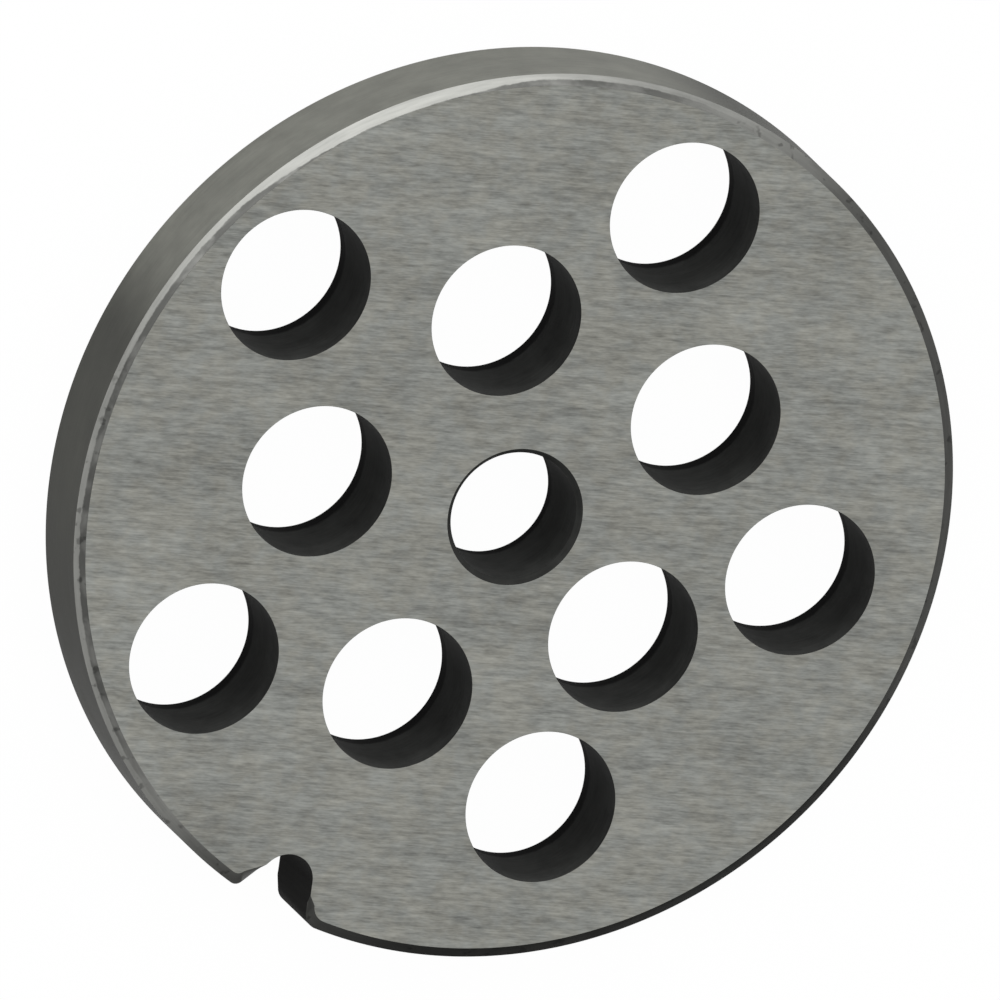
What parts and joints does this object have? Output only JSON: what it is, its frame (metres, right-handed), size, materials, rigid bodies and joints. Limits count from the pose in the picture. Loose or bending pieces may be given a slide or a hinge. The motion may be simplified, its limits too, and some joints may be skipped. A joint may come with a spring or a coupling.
{
  "type": "meat grinder plate",
  "caption": "Flat round steel plate with large feed holes in uneven rings, a central bore and a rounded V-shaped key notch in its rim, for a meat grinder.",
  "frame": {"origin": "centre of the bore on the lower face, where the plate rests", "axes": "+Z along the bore's axis out of the cutting face, -Y towards the key notch"},
  "size_m": [0.07, 0.0697, 0.0075],
  "materials": {
    "steel": "ground on both faces with fine grain, turned rim, dark heat-treated hole walls"
  },
  "bodies": {
    "root": {"grinder_plate": "steel"}
  },
  "joints": []
}
